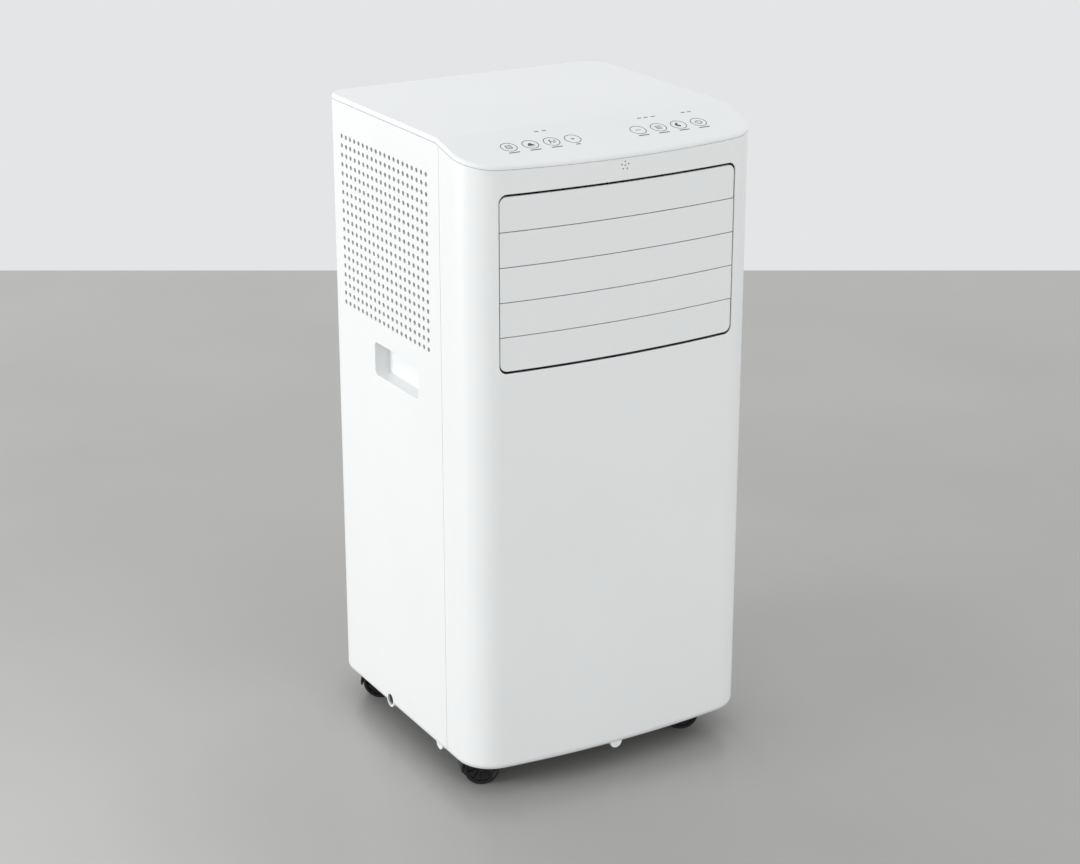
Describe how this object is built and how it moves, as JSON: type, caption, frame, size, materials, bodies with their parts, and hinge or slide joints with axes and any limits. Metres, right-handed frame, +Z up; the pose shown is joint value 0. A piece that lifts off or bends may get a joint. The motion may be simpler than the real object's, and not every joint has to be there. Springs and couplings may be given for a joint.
{
  "type": "portable air conditioner",
  "caption": "Free-standing portable air conditioner with a bowed front, closing louvres over the front outlet, perforated side intakes, hand grips, a rear hose socket and swivel casters.",
  "frame": {"origin": "on the floor, under the middle of the casing's bounding box", "axes": "+Z up, -Y towards the front with the air outlet, +X to the right for someone who stands in front and looks along +Y at it"},
  "size_m": [0.338, 0.33, 0.69],
  "materials": {
    "casing_white": "fine satin moulded",
    "louvre_white": "satin moulded",
    "inner_white": "plain moulded",
    "inner_grey": "plain moulded",
    "black_plastic": "plain moulded",
    "net_grey": "woven nylon",
    "fin_aluminium": "mill finish fins",
    "steel": "drawn",
    "compressor_black": "satin paint",
    "zinc_plate": "zinc plated sheet",
    "copper": "drawn copper",
    "rubber_black": "moulded",
    "board_green": "coated laminate",
    "motor_grey": "coated"
  },
  "bodies": {
    "casing": {"base_tray": "inner_grey", "front_panel": "casing_white", "left_side_panel": "casing_white", "right_side_panel": "casing_white", "rear_panel": "casing_white", "rear_screws": "steel", "top_cover": "casing_white", "control_board": "board_green", "touch_pads": "rubber_black", "sounder": "black_plastic", "outlet_frame": "inner_white", "louvre_motor": "black_plastic", "blower_box": "inner_grey", "cooling_blower_motor": "motor_grey", "cooling_coil": "fin_aluminium", "side_filter_nets": "net_grey", "drain_deck": "inner_grey", "heat_coil": "fin_aluminium", "heat_scroll": "inner_grey", "heat_blower_motor": "motor_grey", "exhaust_duct": "inner_grey", "exhaust_collar": "casing_white", "compressor": "compressor_black", "compressor_mounts": "rubber_black", "accumulator": "compressor_black", "refrigerant_pipes": "copper", "control_box": "zinc_plate", "run_capacitor": "zinc_plate", "cord_bush": "black_plastic", "drain_spout": "casing_white", "upper_drain_spout": "casing_white"},
    "louvre_1": {"louvre_1": "louvre_white"},
    "louvre_2": {"louvre_2": "louvre_white"},
    "louvre_3": {"louvre_3": "louvre_white"},
    "louvre_4": {"louvre_4": "louvre_white"},
    "louvre_5": {"louvre_5": "louvre_white"},
    "louvre_drive": {"louvre_drive_crank": "inner_white"},
    "louvre_link": {"louvre_link": "inner_white"},
    "vane_1": {"vane_1": "inner_white"},
    "vane_2": {"vane_2": "inner_white"},
    "vane_3": {"vane_3": "inner_white"},
    "vane_4": {"vane_4": "inner_white"},
    "vane_5": {"vane_5": "inner_white"},
    "vane_link": {"vane_link": "inner_white"},
    "cooling_blower": {"cooling_blower_wheel": "inner_grey", "cooling_blower_shaft": "steel"},
    "heat_blower": {"heat_blower_wheel": "inner_grey", "heat_blower_shaft": "steel"},
    "filter_cover": {"filter_cover": "casing_white", "rear_filter_net": "net_grey"},
    "lower_drain_plug": {"lower_drain_plug": "rubber_black"},
    "upper_drain_plug": {"upper_drain_plug": "rubber_black"},
    "caster_front_left": {"caster_fork_front_left": "black_plastic"},
    "caster_front_left_wheels": {"caster_wheels_front_left": "black_plastic"},
    "caster_front_right": {"caster_fork_front_right": "black_plastic"},
    "caster_front_right_wheels": {"caster_wheels_front_right": "black_plastic"},
    "caster_rear_left": {"caster_fork_rear_left": "black_plastic"},
    "caster_rear_left_wheels": {"caster_wheels_rear_left": "black_plastic"},
    "caster_rear_right": {"caster_fork_rear_right": "black_plastic"},
    "caster_rear_right_wheels": {"caster_wheels_rear_right": "black_plastic"}
  },
  "joints": [
    {"name": "louvre_drive", "type": "hinge", "parent": "casing", "child": "louvre_drive", "pos_m": [0.15, -0.12, 0.55355], "axis": [1, 0, 0], "range_deg": [0, 65]},
    {"name": "louvre_1_swing", "type": "hinge", "parent": "casing", "child": "louvre_1", "pos_m": [0, -0.148, 0.62431], "axis": [1, 0, 0], "range_deg": [0, 65]},
    {"name": "louvre_2_swing", "type": "hinge", "parent": "casing", "child": "louvre_2", "pos_m": [0, -0.148, 0.58893], "axis": [1, 0, 0], "range_deg": [0, 65]},
    {"name": "louvre_3_swing", "type": "hinge", "parent": "casing", "child": "louvre_3", "pos_m": [0, -0.148, 0.55355], "axis": [1, 0, 0], "range_deg": [0, 65]},
    {"name": "louvre_4_swing", "type": "hinge", "parent": "casing", "child": "louvre_4", "pos_m": [0, -0.148, 0.51817], "axis": [1, 0, 0], "range_deg": [0, 65]},
    {"name": "louvre_5_swing", "type": "hinge", "parent": "casing", "child": "louvre_5", "pos_m": [0, -0.148, 0.48279], "axis": [1, 0, 0], "range_deg": [0, 65]},
    {"name": "louvre_link_turn", "type": "hinge", "parent": "louvre_drive", "child": "louvre_link", "pos_m": [0.138, -0.106, 0.55355], "axis": [1, 0, 0], "range_deg": [-65, 0]},
    {"name": "vane_1_swing", "type": "hinge", "parent": "casing", "child": "vane_1", "pos_m": [-0.1, -0.114, 0.55182], "axis": [0, 0, 1], "range_deg": [-30, 30]},
    {"name": "vane_2_swing", "type": "hinge", "parent": "casing", "child": "vane_2", "pos_m": [-0.05, -0.114, 0.55182], "axis": [0, 0, 1], "range_deg": [-30, 30]},
    {"name": "vane_3_swing", "type": "hinge", "parent": "casing", "child": "vane_3", "pos_m": [0, -0.114, 0.55182], "axis": [0, 0, 1], "range_deg": [-30, 30]},
    {"name": "vane_4_swing", "type": "hinge", "parent": "casing", "child": "vane_4", "pos_m": [0.05, -0.114, 0.55182], "axis": [0, 0, 1], "range_deg": [-30, 30]},
    {"name": "vane_5_swing", "type": "hinge", "parent": "casing", "child": "vane_5", "pos_m": [0.1, -0.114, 0.55182], "axis": [0, 0, 1], "range_deg": [-30, 30]},
    {"name": "vane_link_turn", "type": "hinge", "parent": "vane_3", "child": "vane_link", "pos_m": [0, -0.104, 0.55182], "axis": [0, 0, 1], "range_deg": [-30, 30]},
    {"name": "cooling_blower_spin", "type": "hinge", "parent": "casing", "child": "cooling_blower", "pos_m": [0, 0.05, 0.55182], "axis": [0, 1, 0], "continuous": true},
    {"name": "heat_blower_spin", "type": "hinge", "parent": "casing", "child": "heat_blower", "pos_m": [0.048, 0.05, 0.165], "axis": [0, 1, 0], "continuous": true},
    {"name": "filter_cover_pull", "type": "slide", "parent": "casing", "child": "filter_cover", "axis": [0, 1, 0], "range_m": [0, 0.08]},
    {"name": "lower_drain_plug_pull", "type": "slide", "parent": "casing", "child": "lower_drain_plug", "axis": [-1, 0, 0], "range_m": [0, 0.03]},
    {"name": "upper_drain_plug_pull", "type": "slide", "parent": "casing", "child": "upper_drain_plug", "axis": [0, 1, 0], "range_m": [0, 0.03]},
    {"name": "caster_front_left_swivel", "type": "hinge", "parent": "casing", "child": "caster_front_left", "pos_m": [-0.126, -0.115, 0.045], "axis": [0, 0, 1], "continuous": true},
    {"name": "caster_front_left_roll", "type": "hinge", "parent": "caster_front_left", "child": "caster_front_left_wheels", "pos_m": [-0.13822, -0.11055, 0.019], "axis": [-0.342, -0.9397, 0], "continuous": true},
    {"name": "caster_front_right_swivel", "type": "hinge", "parent": "casing", "child": "caster_front_right", "pos_m": [0.126, -0.115, 0.045], "axis": [0, 0, 1], "continuous": true},
    {"name": "caster_front_right_roll", "type": "hinge", "parent": "caster_front_right", "child": "caster_front_right_wheels", "pos_m": [0.11442, -0.1091, 0.019], "axis": [-0.454, -0.891, 0], "continuous": true},
    {"name": "caster_rear_left_swivel", "type": "hinge", "parent": "casing", "child": "caster_rear_left", "pos_m": [-0.126, 0.119, 0.045], "axis": [0, 0, 1], "continuous": true},
    {"name": "caster_rear_left_roll", "type": "hinge", "parent": "caster_rear_left", "child": "caster_rear_left_wheels", "pos_m": [-0.13726, 0.1255, 0.019], "axis": [-0.5, -0.866, 0], "continuous": true},
    {"name": "caster_rear_right_swivel", "type": "hinge", "parent": "casing", "child": "caster_rear_right", "pos_m": [0.126, 0.119, 0.045], "axis": [0, 0, 1], "continuous": true},
    {"name": "caster_rear_right_roll", "type": "hinge", "parent": "caster_rear_right", "child": "caster_rear_right_wheels", "pos_m": [0.11344, 0.11564, 0.019], "axis": [0.2588, -0.9659, 0], "continuous": true}
  ],
  "couplings": [
    {"joint": "louvre_1_swing", "follows": "louvre_drive", "ratio": 1},
    {"joint": "louvre_2_swing", "follows": "louvre_drive", "ratio": 1},
    {"joint": "louvre_3_swing", "follows": "louvre_drive", "ratio": 1},
    {"joint": "louvre_4_swing", "follows": "louvre_drive", "ratio": 1},
    {"joint": "louvre_5_swing", "follows": "louvre_drive", "ratio": 1},
    {"joint": "louvre_link_turn", "follows": "louvre_drive", "ratio": -1},
    {"joint": "vane_1_swing", "follows": "vane_3_swing", "ratio": 1},
    {"joint": "vane_2_swing", "follows": "vane_3_swing", "ratio": 1},
    {"joint": "vane_4_swing", "follows": "vane_3_swing", "ratio": 1},
    {"joint": "vane_5_swing", "follows": "vane_3_swing", "ratio": 1},
    {"joint": "vane_link_turn", "follows": "vane_3_swing", "ratio": -1}
  ]
}
